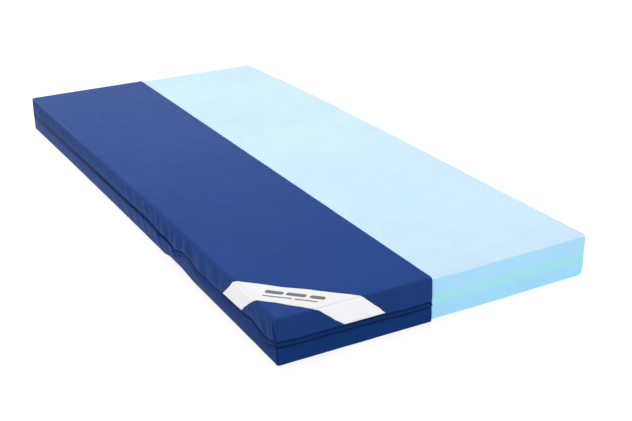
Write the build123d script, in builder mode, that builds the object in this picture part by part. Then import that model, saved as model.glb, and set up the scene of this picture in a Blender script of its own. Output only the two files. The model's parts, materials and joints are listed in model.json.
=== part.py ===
"""Pressure relief mattress, 900 x 2000 x 120 mm, shown with half of its zipped cover on.

A bonded three-layer foam core lies in a coated fabric cover. The cover has a top half and a bottom
half, joined by a zip that runs round the ends and the covered side under a flap. It is cut along the
mattress, so the other side of the core is bare.

Frame, in millimetres: the origin is the centre of the core's footprint on the surface it rests on.
+Z is up, +Y runs along the mattress, away from the end with the corner band, and the cover is on -X.
"""

import os

from build123d import *

# Core
CORE_WIDTH = 900.0
CORE_LENGTH = 2000.0
BOTTOM_LAYER = 50.0
MIDDLE_LAYER = 20.0
TOP_LAYER = 50.0
CORE_HEIGHT = BOTTOM_LAYER + MIDDLE_LAYER + TOP_LAYER
CORE_CORNER = 14.0
CORE_TOP_ROUND = 10.0
CORE_BOTTOM_ROUND = 8.0
COVERED_BOTTOM = 1.4  # the covered half stands this high, on the cover's bottom panel

# The cut through the cover, a straight line that runs slightly askew along the mattress
CUT_NEAR_X = -34.0
CUT_FAR_X = -26.0
CUT_GAP = 0.5

# Cover fabric. Sideways sizes count outwards from the core's faces.
FABRIC = 1.0
WALL_IN = 2.6
WALL_OUT = WALL_IN + FABRIC
TOP_GAP = 0.5
COVER_TOP = CORE_HEIGHT + TOP_GAP + FABRIC
COVER_ROUND = CORE_TOP_ROUND + FABRIC
COVER_BOTTOM_ROUND = 7.0

# Zip, with its chain along one height
ZIP_Z = 50.0
FABRIC_EDGE = 6.0  # from the chain's middle to each fabric edge
TAPE = 0.8
TAPE_REACH = 14.0
CHAIN_GAP = 0.5  # half of the slot between the two tapes, where the slider's post runs
COIL_REACH = 3.2
COIL_OUT = WALL_IN + 2.2

# Flap over the zip
FLAP_LOW_Z = 43.5
FLAP_TOP_Z = 57.5
FLAP = 1.0
FLAP_OUT = WALL_OUT + 2.6
FLAP_ROUND = 1.5
FAR_FLAP_CENTRE_Z = 50.5
FAR_FLAP_ROOT = WALL_OUT + 0.8
FAR_FLAP_RADIUS = 8.15
STRAIGHT_END_X = -CORE_WIDTH / 2 + CORE_CORNER
FAR_FLAP_START_X = STRAIGHT_END_X + 1.5

# Corner band: the strip of the cover's surface between two planes x + y + z = constant
BAND_GAP = 0.1
BAND = 0.5
BAND_OUTER_SUM = -1229.0
BAND_INNER_SUM = -1116.0
BAND_END_Z = 58.5

# Corner seam allowances, turned flat against the inside of the end walls
ALLOWANCE = 1.2
ALLOWANCE_WIDTH = 10.0
ALLOWANCE_START_X = -434.0
TOP_ALLOWANCE_Z = (65.0, 106.0)
BOTTOM_ALLOWANCE_Z = (10.0, 35.0)

# Sewing thread, laid along the fabric as a fine raised line
THREAD_PROUD = 0.3
THREAD = 0.6
FLAP_THREAD_Z = 59.2
TAPE_THREAD_Z = 39.5

# Zip slider and its pull tab
SLIDER_X = -42.0
SLIDER_LENGTH = 12.0
SLIDER_HALF_WIDTH = 4.4
BACK_PLATE = (0.5, 1.5)
FRONT_PLATE = (COIL_OUT + 0.3, COIL_OUT + 1.4)
FLANGE = 0.8
FLANGE_IN = WALL_IN + 0.3
SLIDER_CORNER = 2.0
POST = 0.5
POST_LENGTH = 3.0
POST_X = SLIDER_X + SLIDER_LENGTH / 2 - POST_LENGTH / 2 - 1
BAR_OUT = 8.3
BAR_RADIUS = 0.8
BAR_HALF_LENGTH = 3.6
LEG = 0.9
EYE_RADIUS = 1.7
EYE_BORE = 0.86
TAB_WIDTH = 6.6
TAB = 1.0
TAB_LENGTH = 26.0
TAB_HOLE = 1.5
TAB_CORNER = 2.8

FAR_Y = CORE_LENGTH / 2
cut_direction = Vector(CUT_FAR_X - CUT_NEAR_X, CORE_LENGTH, 0)
cut_normal = Vector(CORE_LENGTH, CUT_NEAR_X - CUT_FAR_X, 0).normalized()
CUT = Plane(origin=(CUT_NEAR_X, -FAR_Y, 0), x_dir=cut_direction, z_dir=cut_normal)
FAR_SECTION = Plane.YZ  # sketches on it have x along +Y and y along +Z


def outline(out, mode=Mode.ADD):
    """The core's outline, grown sideways by that much."""
    RectangleRounded(CORE_WIDTH + 2 * out, CORE_LENGTH + 2 * out, CORE_CORNER + out, mode=mode)


def ring(low, high, inner, outer):
    """A band round the core, from one height to another and from one distance outwards to another."""
    with BuildPart() as band:
        with BuildSketch(Plane.XY.offset(low)):
            outline(outer)
            outline(inner, Mode.SUBTRACT)
        extrude(amount=high - low)
    return band


def half_ring(low, high, inner, outer):
    """The covered half of a band round the core."""
    with BuildPart() as half:
        add(ring(low, high, inner, outer).part)
        split(bisect_by=CUT, keep=Keep.BOTTOM)
    return half


def top_edges(part):
    return part.faces().sort_by(Axis.Z)[-1].edges()


def bottom_edges(part):
    return part.faces().sort_by(Axis.Z)[0].edges()


def save(builder, name):
    builder.part.label = name
    export_step(builder.part, f"parts/{name}.step")


os.makedirs("parts", exist_ok=True)

# ---- Foam core -------------------------------------------------------------------------------

with BuildPart() as room_for_cover:
    with BuildSketch():
        outline(WALL_OUT)
    extrude(amount=COVERED_BOTTOM)
    split(bisect_by=CUT.offset(CUT_GAP), keep=Keep.BOTTOM)

with BuildPart() as foam_bottom_layer:
    with BuildSketch():
        outline(0)
    extrude(amount=BOTTOM_LAYER)
    fillet(bottom_edges(foam_bottom_layer), CORE_BOTTOM_ROUND)
    add(room_for_cover.part, mode=Mode.SUBTRACT)
save(foam_bottom_layer, "foam_bottom_layer")

with BuildPart() as foam_middle_layer:
    with BuildSketch(Plane.XY.offset(BOTTOM_LAYER)):
        outline(0)
    extrude(amount=MIDDLE_LAYER)
save(foam_middle_layer, "foam_middle_layer")

with BuildPart() as foam_top_layer:
    with BuildSketch(Plane.XY.offset(BOTTOM_LAYER + MIDDLE_LAYER)):
        outline(0)
    extrude(amount=TOP_LAYER)
    fillet(top_edges(foam_top_layer), CORE_TOP_ROUND)
save(foam_top_layer, "foam_top_layer")

# ---- Cover -----------------------------------------------------------------------------------


def top_form(out, top, rounding):
    """A block with the cover's upper shape, from the top fabric edge up to that height."""
    with BuildPart() as form:
        with BuildSketch(Plane.XY.offset(ZIP_Z + FABRIC_EDGE)):
            outline(out)
        extrude(amount=top - ZIP_Z - FABRIC_EDGE)
        fillet(top_edges(form), rounding)
    return form.part


top_inside = top_form(WALL_IN, COVER_TOP - FABRIC, CORE_TOP_ROUND)
top_outside = top_form(WALL_OUT, COVER_TOP, COVER_ROUND)

with BuildPart() as cover_top:
    add(top_outside)
    add(top_inside, mode=Mode.SUBTRACT)
    split(bisect_by=CUT, keep=Keep.BOTTOM)
save(cover_top, "cover_top")

with BuildPart() as bottom_inside:
    with BuildSketch(Plane.XY.offset(FABRIC)):
        outline(WALL_IN)
    extrude(amount=ZIP_Z - FABRIC_EDGE - FABRIC)
    fillet(bottom_edges(bottom_inside), COVER_BOTTOM_ROUND - FABRIC)

with BuildPart() as cover_bottom:
    with BuildSketch():
        outline(WALL_OUT)
    extrude(amount=ZIP_Z - FABRIC_EDGE)
    fillet(bottom_edges(cover_bottom), COVER_BOTTOM_ROUND)
    add(bottom_inside.part, mode=Mode.SUBTRACT)
    split(bisect_by=CUT, keep=Keep.BOTTOM)
save(cover_bottom, "cover_bottom")


def corner_allowance(side, heights):
    """A folded seam allowance inside a corner; side is -1 at the near end and +1 at the far end."""
    middle = (WALL_IN - ALLOWANCE / 2 + FAR_Y) * side
    with BuildPart() as allowance:
        with BuildSketch(Plane.XY.offset(heights[0])):
            with Locations((ALLOWANCE_START_X + ALLOWANCE_WIDTH / 2, middle)):
                Rectangle(ALLOWANCE_WIDTH, ALLOWANCE)
        extrude(amount=heights[1] - heights[0])
    return allowance


for half, heights in (("top", TOP_ALLOWANCE_Z), ("bottom", BOTTOM_ALLOWANCE_Z)):
    for end, side in (("near", -1), ("far", 1)):
        save(corner_allowance(side, heights), f"corner_seam_{half}_{end}")

# ---- Zip and flap ----------------------------------------------------------------------------

zip_tape_upper = half_ring(ZIP_Z + CHAIN_GAP, ZIP_Z + TAPE_REACH, WALL_IN - TAPE, WALL_IN)
save(zip_tape_upper, "zip_tape_upper")

zip_tape_lower = half_ring(ZIP_Z - TAPE_REACH, ZIP_Z - CHAIN_GAP, WALL_IN - TAPE, WALL_IN)
save(zip_tape_lower, "zip_tape_lower")

zip_coil_upper = half_ring(ZIP_Z + CHAIN_GAP, ZIP_Z + COIL_REACH, WALL_IN, COIL_OUT)
save(zip_coil_upper, "zip_coil_upper")

zip_coil_lower = half_ring(ZIP_Z - COIL_REACH, ZIP_Z - CHAIN_GAP, WALL_IN, COIL_OUT)
save(zip_coil_lower, "zip_coil_lower")

with BuildPart() as far_stretch:
    with BuildSketch(Plane.XY.offset(FLAP_LOW_Z)):
        with Locations((0, FAR_Y)):
            Rectangle(-2 * STRAIGHT_END_X, 4 * FLAP_OUT)
    extrude(amount=FLAP_TOP_Z - FLAP_LOW_Z)

with BuildPart() as zip_flap:
    with BuildSketch(Plane.XY.offset(FLAP_LOW_Z)):
        outline(FLAP_OUT)
    extrude(amount=FLAP_TOP_Z - FLAP_LOW_Z)
    fillet(top_edges(zip_flap), FLAP_ROUND)
    with BuildSketch(Plane.XY.offset(FLAP_LOW_Z)):
        outline(FLAP_OUT - FLAP)
    extrude(amount=FLAP_TOP_Z - FLAP - FLAP_LOW_Z, mode=Mode.SUBTRACT)
    with BuildSketch(Plane.XY.offset(FLAP_LOW_Z)):
        outline(WALL_OUT)
    extrude(amount=FLAP_TOP_Z - FLAP_LOW_Z, mode=Mode.SUBTRACT)
    split(bisect_by=CUT, keep=Keep.BOTTOM)
    add(far_stretch.part, mode=Mode.SUBTRACT)
save(zip_flap, "zip_flap")

root_y = FAR_Y + FAR_FLAP_ROOT
crown_z = FAR_FLAP_CENTRE_Z + FAR_FLAP_RADIUS
outer_y = root_y + FAR_FLAP_RADIUS
with BuildPart() as zip_flap_far:
    with BuildSketch(FAR_SECTION.offset(FAR_FLAP_START_X)):
        with BuildLine():
            RadiusArc((root_y, crown_z), (outer_y, FAR_FLAP_CENTRE_Z), FAR_FLAP_RADIUS)
            Line((outer_y, FAR_FLAP_CENTRE_Z), (outer_y, FLAP_LOW_Z))
            Line((outer_y, FLAP_LOW_Z), (outer_y - FLAP, FLAP_LOW_Z))
            Line((outer_y - FLAP, FLAP_LOW_Z), (outer_y - FLAP, FAR_FLAP_CENTRE_Z))
            RadiusArc((outer_y - FLAP, FAR_FLAP_CENTRE_Z), (root_y, crown_z - FLAP),
                      FLAP - FAR_FLAP_RADIUS)
            Line((root_y, crown_z - FLAP), (root_y, crown_z))
        make_face()
    extrude(amount=CUT_FAR_X - FAR_FLAP_START_X)
    split(bisect_by=CUT, keep=Keep.BOTTOM)
save(zip_flap_far, "zip_flap_far")

# ---- Corner band -----------------------------------------------------------------------------


def between_band_edges():
    """Keep what lies between the two slanting planes that bound the band."""
    for total, keep in ((BAND_OUTER_SUM, Keep.TOP), (BAND_INNER_SUM, Keep.BOTTOM)):
        edge = Plane(origin=(total / 3, total / 3, total / 3), z_dir=(1, 1, 1))
        split(bisect_by=edge, keep=keep)


band_in = WALL_OUT + BAND_GAP
band_out = band_in + BAND
band_inside = top_form(band_in, COVER_TOP + BAND_GAP, COVER_ROUND + BAND_GAP)
band_outside = top_form(band_out, COVER_TOP + BAND_GAP + BAND, COVER_ROUND + BAND_GAP + BAND)

with BuildPart() as corner_band:
    add(band_outside)
    add(band_inside, mode=Mode.SUBTRACT)
    between_band_edges()
    split(bisect_by=Plane.XY.offset(BAND_END_Z), keep=Keep.TOP)
save(corner_band, "corner_band")

# ---- Sewing thread ---------------------------------------------------------------------------

with BuildPart() as seam_under_band:
    add(ring(FLAP_THREAD_Z, FLAP_THREAD_Z + THREAD, WALL_OUT, band_out).part)
    between_band_edges()

with BuildPart() as flap_stitching:
    add(half_ring(FLAP_THREAD_Z, FLAP_THREAD_Z + THREAD, WALL_OUT, WALL_OUT + THREAD_PROUD).part)
    add(seam_under_band.part, mode=Mode.SUBTRACT)
save(flap_stitching, "flap_stitching")

with BuildPart() as band_stitching:
    add(ring(FLAP_THREAD_Z, FLAP_THREAD_Z + THREAD, band_out, band_out + THREAD_PROUD).part)
    between_band_edges()
save(band_stitching, "band_stitching")

tape_stitching = half_ring(TAPE_THREAD_Z, TAPE_THREAD_Z + THREAD, WALL_OUT, WALL_OUT + THREAD_PROUD)
save(tape_stitching, "tape_stitching")

# ---- Zip slider ------------------------------------------------------------------------------


def block(x_middle, x_size, y_range, z_range):
    """A box on the far end wall: y_range counts outwards from the core and z_range from the chain."""
    with BuildPart() as box:
        with BuildSketch(Plane.XZ.offset(-FAR_Y - y_range[0])):
            with Locations((x_middle, ZIP_Z + (z_range[0] + z_range[1]) / 2)):
                Rectangle(x_size, z_range[1] - z_range[0])
        extrude(amount=y_range[0] - y_range[1])
    return box.part


with BuildPart() as zip_slider:
    for plate in (BACK_PLATE, FRONT_PLATE):
        add(block(SLIDER_X, SLIDER_LENGTH, plate, (-SLIDER_HALF_WIDTH, SLIDER_HALF_WIDTH)))
    fillet(zip_slider.edges().filter_by(Axis.Y), SLIDER_CORNER)
    for low in (-SLIDER_HALF_WIDTH, SLIDER_HALF_WIDTH - FLANGE):
        add(block(SLIDER_X, SLIDER_LENGTH - 2 * SLIDER_CORNER, (FLANGE_IN, FRONT_PLATE[0]),
                  (low, low + FLANGE)))
    add(block(POST_X, POST_LENGTH, (BACK_PLATE[1], FRONT_PLATE[0]), (-POST / 2, POST / 2)))
    for side in (-1, 1):
        leg_x = SLIDER_X + side * (BAR_HALF_LENGTH + LEG / 2)
        add(block(leg_x, LEG, (FRONT_PLATE[1], BAR_OUT + BAR_RADIUS), (-BAR_RADIUS, BAR_RADIUS)))
    with BuildSketch(FAR_SECTION.offset(SLIDER_X - BAR_HALF_LENGTH)):
        with Locations((FAR_Y + BAR_OUT, ZIP_Z)):
            Circle(BAR_RADIUS)
    extrude(amount=2 * BAR_HALF_LENGTH)
save(zip_slider, "zip_slider")

with BuildPart() as pull_tab:
    with BuildSketch(FAR_SECTION.offset(SLIDER_X - TAB_WIDTH / 2)):
        with Locations((FAR_Y + BAR_OUT, ZIP_Z)):
            Circle(EYE_RADIUS)
        with Locations((FAR_Y + BAR_OUT - EYE_RADIUS + TAB / 2, ZIP_Z - TAB_LENGTH / 2)):
            Rectangle(TAB, TAB_LENGTH)
        with Locations((FAR_Y + BAR_OUT, ZIP_Z)):
            Circle(EYE_BORE, mode=Mode.SUBTRACT)
    extrude(amount=TAB_WIDTH)
    fillet(pull_tab.faces().sort_by(Axis.Z)[0].edges().filter_by(Axis.Y), TAB_CORNER)
    with BuildSketch(Plane.XZ.offset(-FAR_Y)):
        with Locations((SLIDER_X, ZIP_Z - TAB_LENGTH + TAB_WIDTH / 2)):
            Circle(TAB_HOLE)
    extrude(amount=-BAR_OUT, mode=Mode.SUBTRACT)
save(pull_tab, "pull_tab")
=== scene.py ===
"""The looks of a pressure relief mattress: a layered foam core in a zipped cover that is cut away
along its length, with a pale band sewn across one corner. Metres, in the frame of the CAD model."""

import json
import math

import bmesh
import bpy
import numpy as np
from mathutils import Matrix, Vector, noise
from mathutils.bvhtree import BVHTree
from mathutils.kdtree import KDTree

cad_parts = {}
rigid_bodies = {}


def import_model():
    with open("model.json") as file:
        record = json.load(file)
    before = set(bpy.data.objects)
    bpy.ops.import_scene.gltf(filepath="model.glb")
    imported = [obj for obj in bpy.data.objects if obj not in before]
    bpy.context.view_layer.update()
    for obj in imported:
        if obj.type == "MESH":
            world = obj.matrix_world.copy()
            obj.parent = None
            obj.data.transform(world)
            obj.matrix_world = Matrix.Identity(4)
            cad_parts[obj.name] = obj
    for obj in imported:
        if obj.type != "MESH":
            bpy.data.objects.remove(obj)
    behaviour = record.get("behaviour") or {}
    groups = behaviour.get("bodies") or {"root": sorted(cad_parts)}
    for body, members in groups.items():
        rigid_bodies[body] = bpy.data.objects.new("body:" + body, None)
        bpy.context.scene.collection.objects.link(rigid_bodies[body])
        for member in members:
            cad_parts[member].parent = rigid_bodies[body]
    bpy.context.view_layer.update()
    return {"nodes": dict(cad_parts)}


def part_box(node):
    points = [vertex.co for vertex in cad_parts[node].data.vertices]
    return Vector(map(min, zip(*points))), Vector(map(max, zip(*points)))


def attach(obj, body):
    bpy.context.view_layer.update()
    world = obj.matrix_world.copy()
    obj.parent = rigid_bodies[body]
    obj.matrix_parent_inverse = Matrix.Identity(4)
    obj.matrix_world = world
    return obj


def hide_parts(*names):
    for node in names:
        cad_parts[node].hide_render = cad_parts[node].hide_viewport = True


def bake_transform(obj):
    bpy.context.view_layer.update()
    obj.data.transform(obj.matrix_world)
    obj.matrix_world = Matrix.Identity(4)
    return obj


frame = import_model()

MM = 0.001

# ---- Sizes, read from the frame ----

core_low, core_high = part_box("foam_bottom_layer")[0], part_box("foam_top_layer")[1]
middle_low, middle_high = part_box("foam_middle_layer")
cover_low, cover_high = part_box("cover_bottom")[0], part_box("cover_top")[1]
top_edge_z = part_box("cover_top")[0].z
bottom_edge_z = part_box("cover_bottom")[1].z
flap_low, flap_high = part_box("zip_flap")
far_flap_low, far_flap_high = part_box("zip_flap_far")
tape_low, tape_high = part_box("zip_tape_lower")[0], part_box("zip_tape_upper")[1]
coil_low, coil_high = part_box("zip_coil_lower")[0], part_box("zip_coil_upper")[1]
chain_z = (coil_low.z + coil_high.z) / 2
band_low, band_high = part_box("corner_band")

LEFT, NEAR = cover_low.x, cover_low.y
FAR, TOP = cover_high.y, cover_high.z
FABRIC = 1.0 * MM
CORNER = 6 * MM         # plan radius of the cover's corners
TOP_ROUND = 8 * MM
BOTTOM_ROUND = 7 * MM
CUT_NEAR_X = -34 * MM
CUT_FAR_X = -27 * MM


def cut_x(y):
    """Where the cover is cut, at that place along the mattress."""
    share = (y - core_low.y) / (core_high.y - core_low.y)
    return CUT_NEAR_X + (CUT_FAR_X - CUT_NEAR_X) * share


# ---- Mesh helpers ----

# How far from an edge the lines of a grid lie, in millimetres.
EDGE_GRADE = [0, 2.5, 5, 7.5, 10, 12.5, 16, 20]
SEAM_GRADE = [0, 0.5, 1, 1.7, 2.5, 3.5, 4.7, 6, 7.4, 8.8, 10.2, 11.6, 13, 14.5, 16.5, 20]


def spaced(low, high, step, fine_at=(), grade=EDGE_GRADE):
    """Places from low to high about a step apart, and closer together, by the grade in millimetres,
    on both sides of the places in fine_at."""
    marks = sorted({low, high} | {m for place in fine_at for gap in grade
                                  for m in (place - gap * MM, place + gap * MM) if low < m < high})
    marks = [m for i, m in enumerate(marks) if i == 0 or m - marks[i - 1] > 0.2 * MM]
    places = [marks[0]]
    for a, b in zip(marks, marks[1:]):
        count = max(1, round((b - a) / step))
        places.extend(a + (b - a) * (k + 1) / count for k in range(count))
    return np.array(places)


def grid_faces(rows, columns, first=0, around=False):
    """Quads between the points of a grid that is stored row by row."""
    faces = []
    for i in range(rows - 1):
        for j in range(columns if around else columns - 1):
            a = first + i * columns + j
            b = first + i * columns + (j + 1) % columns
            faces.append((a, b, b + columns, a + columns))
    return faces


def add_grid(points, faces, a_places, b_places, point):
    """Add the grid of points that point(a, b) gives, and its quads."""
    faces += grid_faces(len(a_places), len(b_places), len(points))
    points += [point(a, b) for a in a_places for b in b_places]


def tube_faces(rings, sides, first=0):
    """Faces of a closed tube whose points are stored ring by ring."""
    faces = grid_faces(rings, sides, first, around=True)
    faces.append(tuple(first + k for k in range(sides)))
    faces.append(tuple(first + (rings - 1) * sides + k for k in range(sides))[::-1])
    return faces


def ring(centre, u, v, radius, sides):
    """A circle of points about a centre, in the plane of u and v."""
    return [centre + (u * math.cos(a) + v * math.sin(a)) * radius
            for a in np.arange(sides) * 2 * math.pi / sides]


link = bpy.context.scene.collection.objects.link


def new_piece(name, points, faces, material):
    mesh = bpy.data.meshes.new(name)
    mesh.from_pydata([tuple(p) for p in points], [], faces)
    mesh.validate()
    mesh.materials.append(material)
    mesh.shade_smooth()
    piece = bpy.data.objects.new(name, mesh)
    link(piece)
    return piece


def edit(piece, work):
    """Run work on the piece's bmesh."""
    mesh = bmesh.new()
    mesh.from_mesh(piece.data)
    work(mesh)
    mesh.to_mesh(piece.data)
    mesh.free()
    piece.data.update()


def face_outwards(piece):
    edit(piece, lambda mesh: bmesh.ops.recalc_face_normals(mesh, faces=mesh.faces))


def apply_modifiers(piece):
    depsgraph = bpy.context.evaluated_depsgraph_get()
    mesh = bpy.data.meshes.new_from_object(piece.evaluated_get(depsgraph))
    mesh.name = piece.name
    piece.modifiers.clear()
    piece.data = mesh


def thicken(piece, thickness):
    """Give a surface its fabric's thickness, inwards from its face."""
    solid = piece.modifiers.new("thickness", "SOLIDIFY")
    solid.thickness = thickness
    solid.offset = -1
    solid.use_even_offset = True
    apply_modifiers(piece)


def points_of(piece):
    co = np.empty(len(piece.data.vertices) * 3)
    piece.data.vertices.foreach_get("co", co)
    return co.reshape(-1, 3)


def set_points(piece, co):
    piece.data.vertices.foreach_set("co", np.asarray(co, float).ravel())
    piece.data.update()


def closed_piece(name, points, faces, material):
    """A piece whose touching points are welded, and whose faces all look outwards."""
    piece = new_piece(name, points, faces, material)
    edit(piece, lambda mesh: bmesh.ops.remove_doubles(mesh, verts=mesh.verts, dist=1e-6))
    face_outwards(piece)
    return piece


def skin_of(piece):
    return BVHTree.FromPolygons([tuple(p) for p in points_of(piece)],
                                [tuple(f.vertices) for f in piece.data.polygons])


def take_place(piece, node, body="cover"):
    """The piece stands for a CAD node, whose part is hidden, and rides on its body."""
    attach(piece, body)
    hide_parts(node)


def ramp(value, low, high):
    t = np.clip((value - low) / (high - low), 0, 1)
    return t * t * (3 - 2 * t)


def through(places, values, at):
    """A smooth curve through a few values."""
    i = np.clip(np.searchsorted(places, at) - 1, 0, len(places) - 2)
    places, values = np.array(places), np.array(values)
    t = ramp(at, places[i], places[i + 1])
    return values[i] * (1 - t) + values[i + 1] * t


def unit(v):
    return v / np.maximum(np.linalg.norm(v, axis=1, keepdims=True), 1e-9)


def soft_noise(points, scale, seed=0.0):
    """Smooth noise from -1 to 1 at each point; scale is the size of its lumps."""
    shift = Vector((seed, seed * 1.7, seed * 2.3))
    return np.array([noise.noise(Vector(p) / scale + shift) for p in points])


# ---- The shape of the fabric ----


def round_off(p, low_round=None):
    """Move points of the cover's sharp box on to its rounded form, and give their outward directions.
    There is no edge at the cut."""
    radii = np.array([CORNER, CORNER, low_round or TOP_ROUND])
    inner = p.copy()
    inner[:, 0] = np.maximum(p[:, 0], LEFT + CORNER)
    inner[:, 1] = np.clip(p[:, 1], NEAR + CORNER, FAR - CORNER)
    inner[:, 2] = np.maximum(p[:, 2], low_round) if low_round else np.minimum(p[:, 2], TOP - TOP_ROUND)
    d = (p - inner) / radii
    away = unit(d)
    return inner + away * radii, unit(away / radii)


# Foam isn't cut quite true: the long sides run in a slight bow, and one far corner is a little short.
BOW = 5 * MM
RIGHT_BOW = 9 * MM
SHORT_CORNER = 20 * MM


def bowed(p, across=0):
    """How far these places are shifted by the bow. across is 0 at the left side and 1 at the right."""
    middle = 1 - np.clip(p[:, 1], -1, 1) ** 2
    short = np.clip((p[:, 1] - 0.4) / 0.6, 0, 1) ** 1.5
    return middle * (BOW + (RIGHT_BOW - BOW) * across) - SHORT_CORNER * short * across ** 2


# The line of the zip rises and falls along the left wall and the near wall.
LEFT_LINE_Y = [-1.0, -0.95, -0.92, -0.872, -0.83, -0.77, -0.65, -0.55, -0.49, -0.45,
               -0.395, -0.33, -0.28, -0.19, -0.11, -0.03, 0.4, 0.87, 0.96]
LEFT_LINE_MM = [3, -6, -4, 5, 1, -1, -4, -2, 8, 8, -5, 4, 3, 11, 10, 7, 7, 6, 2]
NEAR_LINE_X = [-0.45, -0.40, -0.30, -0.20, -0.11, -0.04]
NEAR_LINE_MM = [5, 2, 2, 1, -2, -1]


def line_shift(p):
    """How far the zip's line lies above its straight run, at these places."""
    left = through(LEFT_LINE_Y, LEFT_LINE_MM, p[:, 1])
    near = through(NEAR_LINE_X, NEAR_LINE_MM, p[:, 0])
    on_near = ramp(-(p[:, 1] - NEAR) / MM, -24, -4)
    return (left * (1 - on_near) + near * on_near) * MM


# The band crosses the near left corner between two planes, x + y + z = constant.
BAND_WIDTH = 80 * MM
BAND_THICKNESS = 0.6 * MM
BAND_RISE = 0.9 * MM
half_band = BAND_WIDTH / math.sqrt(2)
BAND_SHIFT = 6 * MM
middle_sum = band_high.x + NEAR + band_low.z - half_band + BAND_SHIFT
BAND_FLARE = 3 * MM       # how far the band's ends turn towards the middle of the mattress
BAND_NARROWING = 12 * MM  # how much more its edge on the corner's side does
BAND_WIDENING = 11 * MM   # how much nearer to the corner that edge lies at the near wall
LEFT_END_Z = 62.5 * MM
NEAR_END_Z = 63.5 * MM


def off_band(p):
    """0 under the corner band, whose sewing keeps the fabric flat, and 1 away from it."""
    return ramp(np.abs(p.sum(axis=1) - middle_sum), half_band, half_band + 0.03)


LEFT_FOLDS = [
    # y, z, lean in degrees, half length, half width, height: millimetres
    (-972, 82, 68, 30, 10, 3), (-948, 86, 64, 28, 8, -2.6), (-930, 82, 48, 28, 10, 2),
    (-690, 88, 118, 22, 14, -2.6), (-655, 100, 112, 22, 13, 2.2), (-610, 82, 108, 24, 13, -2.6),
    (-570, 95, 96, 24, 12, 2.4), (-520, 92, 88, 26, 14, -2.4), (-480, 88, 84, 26, 12, 3.4),
    (-447, 85, 82, 26, 10, -3.2), (-412, 86, 76, 26, 10, 3.6), (-372, 90, 70, 26, 10.4, 3.2),
    (-350, 85, 66, 24, 10.4, -3.1), (-318, 84, 64, 26, 11.7, 2.4), (-269, 94, 62, 28, 9.1, 3.6),
    (-246, 92, 62, 26, 10.4, -2.5), (-174, 98, 58, 26, 9.1, 3.6), (-152, 95, 58, 24, 10.4, -2.4),
    (-94, 96, 56, 26, 9.1, 3.4), (-70, 94, 56, 24, 10.4, -2.4), (-21, 97, 55, 26, 9.1, 3.4),
    (4, 95, 55, 24, 10.4, -2.4), (-760, 20, 75, 16, 10.4, -2.2), (-742, 22, 75, 18, 11.7, 1.4),
    (-700, 22, 70, 18, 10.4, -2), (-520, 36, 7, 60, 7.8, 2.9), (-520, 20, 8, 50, 7.8, -1.7),
    (-430, 24, 70, 22, 10, -2.4), (-369, 36, 60, 22, 11.7, 4.1), (-330, 30, 46, 26, 11.7, -3.2),
    (-290, 28, 40, 24, 10.4, -2), (-254, 36, 24, 30, 10.4, 4.2), (-225, 22, 26, 30, 9.1, -2.9),
    (-200, 35, 18, 34, 7.8, 2.9), (-165, 20, 30, 30, 9.1, -2.4), (-143, 32, 38, 30, 9.1, 3.1),
    (-110, 22, 34, 26, 9.1, -2.2), (-78, 40, 31, 30, 9.1, 2.9), (-45, 24, 34, 26, 10.4, -1.9),
    (-10, 34, 34, 28, 10.4, 2.2), (50, 26, 34, 28, 11.7, -1.5), (110, 34, 36, 28, 10, 1.8),
]

NEAR_FOLDS = [
    # x, z and the rest alike
    (-330, 88, -62, 28, 11, -1.6), (-352, 82, -58, 30, 10, 1.2), (-425, 85, 80, 26, 8, 1),
    (-120, 85, -72, 30, 12, 0.8), (-60, 88, -80, 26, 10, -0.8), (-300, 22, 12, 50, 7, 0.8),
]


def wall_folds(p):
    """How far the walls' fabric stands off, in soft straight folds."""
    x, y, z = p.T
    stand = np.zeros(len(p))
    for along, off_wall, folds in ((y, x - LEFT, LEFT_FOLDS), (x, y - NEAR, NEAR_FOLDS)):
        on_wall = ramp(-off_wall / MM, -30, -8)
        for middle, middle_z, lean, length, width, height in folds:
            a, b = along / MM - middle, z / MM - middle_z
            c, s = math.cos(math.radians(lean)), math.sin(math.radians(lean))
            fold = np.exp(-((a * c + b * s) / length) ** 2 - ((b * c - a * s) / width) ** 2)
            stand += on_wall * fold * (height * MM)
    return stand * (0.1 + 0.9 * off_band(p))


PULL = 7 * MM           # how far the zip pulls the bottom edge up
GROOVE = 1.9 * MM       # depth of the valley along the flap's seam
GROOVE_WIDTH = 2.6 * MM
PUFF = 1.8 * MM         # how far the walls stand off between their seams
LONG_PUFF = 5.4 * MM    # the same on the long wall


def drape(p, normal):
    """Move rounded points as the slack fabric lies: the zip's line shifts, and the walls stand off
    above and below it, so that the zip lies in a valley."""
    moved = p.copy()
    x, y, height = p.T
    level = 1 - normal[:, 2] ** 2
    towards_line = np.where(height > chain_z,
                            1 - ramp(height, chain_z + 10 * MM, TOP - 8 * MM),
                            ramp(height, 4 * MM, chain_z - 8 * MM))
    moved[:, 2] += line_shift(p) * towards_line
    up = np.clip((height - flap_high.z) / (TOP - flap_high.z), 0, 1)
    slack = np.sin(np.pi * up ** 0.55)
    down = np.clip(height / bottom_edge_z, 0, 1)
    slack_low = np.sin(np.pi * down ** 1.15) * (height < bottom_edge_z)
    share = np.where(height > chain_z, 0.15 + 0.85 * slack, slack_low)
    long_wall = 1 - ramp(x, LEFT, LEFT + 0.02)
    mid_length = ramp(y, -0.93, -0.60) * (1 - ramp(y, 0.90, 0.99))
    puff = PUFF + (LONG_PUFF - PUFF) * long_wall * mid_length
    calm = 1 - 0.8 * ramp(y, FAR - 0.05, FAR - 0.02)
    out = wall_folds(p) * share + puff * (slack + 0.5 * slack_low)
    out -= GROOVE * np.exp(-((height - flap_high.z) / GROOVE_WIDTH) ** 2)
    moved += (normal * [1, 1, 0]) * (out * level * calm)[:, None]
    from_cut = np.clip((x - cut_x(y)) / (LEFT - cut_x(y)), 0, 1)
    moved[:, 0] += bowed(p) * from_cut
    moved[:, 2] += pulled_up(p)
    return moved


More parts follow.
